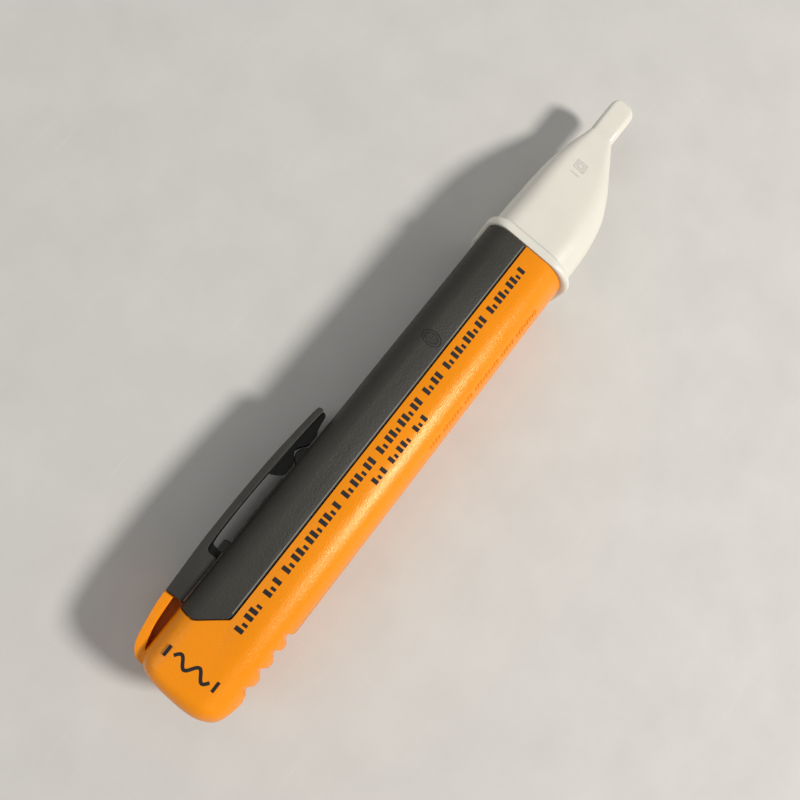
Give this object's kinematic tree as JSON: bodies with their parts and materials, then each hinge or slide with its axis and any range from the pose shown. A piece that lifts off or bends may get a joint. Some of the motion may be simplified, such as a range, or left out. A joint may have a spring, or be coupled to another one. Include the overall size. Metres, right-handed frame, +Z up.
{
  "type": "non contact voltage tester",
  "caption": "Pen-shaped non-contact voltage tester with a tapered white sensing nose, a two-colour rounded body, a sprung pocket clip and a slide-out battery module.",
  "frame": {"origin": "middle of the object's box, on the surface it lies on", "axes": "+X along the tester towards the sensing tip, +Y towards the pocket clip, +Z up from the flat side it lies on"},
  "size_m": [0.1456, 0.0246, 0.0186],
  "materials": {
    "yellow_shell": "spark-textured matt orange-yellow moulding",
    "grey_shell": "spark-textured dark warm grey moulding",
    "clip_plastic": "dark grey springy nylon",
    "button_rubber": "soft black rubber",
    "nose_plastic": "off-white translucent satin polycarbonate",
    "tray_plastic": "natural off-white moulding",
    "cell_case": "printed sleeve over a metal can, bare ends",
    "spring_metal": "nickel-plated spring steel",
    "circuit_board": "green solder mask",
    "black_plastic": "black moulded plastic",
    "brass": "bare brass disc",
    "copper": "tinned copper strip",
    "led_lens": "clear red epoxy",
    "ceramic": "ceramic chip body with tinned ends"
  },
  "bodies": {
    "sleeve": {"outer_sleeve": "yellow_shell", "grey_panel": "grey_shell"},
    "clip": {"pocket_clip": "clip_plastic"},
    "button": {"power_button": "button_rubber"},
    "front_module": {"nose_cone": "nose_plastic", "nose_collar": "nose_plastic", "battery_tray": "tray_plastic", "battery_cell_rear": "cell_case", "battery_cell_front": "cell_case", "rear_contact_spring": "spring_metal", "contact_strap": "spring_metal", "front_contact": "spring_metal", "main_pcb": "circuit_board", "pcb_screw_1": "spring_metal", "pcb_screw_2": "spring_metal", "switch_body": "black_plastic", "buzzer_case": "black_plastic", "buzzer_disc": "brass", "microcontroller": "black_plastic", "amplifier_chip": "black_plastic", "status_led": "led_lens", "sensor_antenna": "copper", "resistor_1": "ceramic", "resistor_2": "ceramic", "resistor_3": "ceramic", "resistor_4": "ceramic", "capacitor_1": "ceramic", "capacitor_2": "ceramic", "capacitor_3": "ceramic"},
    "latch": {"latch_arm": "clip_plastic"},
    "plunger": {"switch_plunger": "tray_plastic"}
  },
  "joints": [
    {"name": "front_module_slide", "type": "slide", "parent": "sleeve", "child": "front_module", "axis": [1, 0, 0], "range_m": [0, 0.104], "deforming": ["latch_arm"]},
    {"name": "latch_press", "type": "hinge", "parent": "front_module", "child": "latch", "pos_m": [-0.02825, 0.00553, 0.0135], "axis": [0, 0, 1], "range_deg": [0, 6.5], "stiffness_Nm_per_rad": 1},
    {"name": "power_button_press", "type": "slide", "parent": "sleeve", "child": "button", "axis": [0, -1, 0], "range_m": [0, 0.0006], "stiffness_N_per_m": 600},
    {"name": "switch_plunger_press", "type": "slide", "parent": "front_module", "child": "plunger", "axis": [0, -1, 0], "range_m": [0, 0.0003]},
    {"name": "pocket_clip_flex", "type": "hinge", "parent": "sleeve", "child": "clip", "pos_m": [-0.05965, 0.00822, 0.0093], "axis": [0, 0, 1], "range_deg": [0, 4], "stiffness_Nm_per_rad": 4}
  ],
  "couplings": [
    {"joint": "switch_plunger_press", "follows": "power_button_press", "ratio": 0.5}
  ]
}
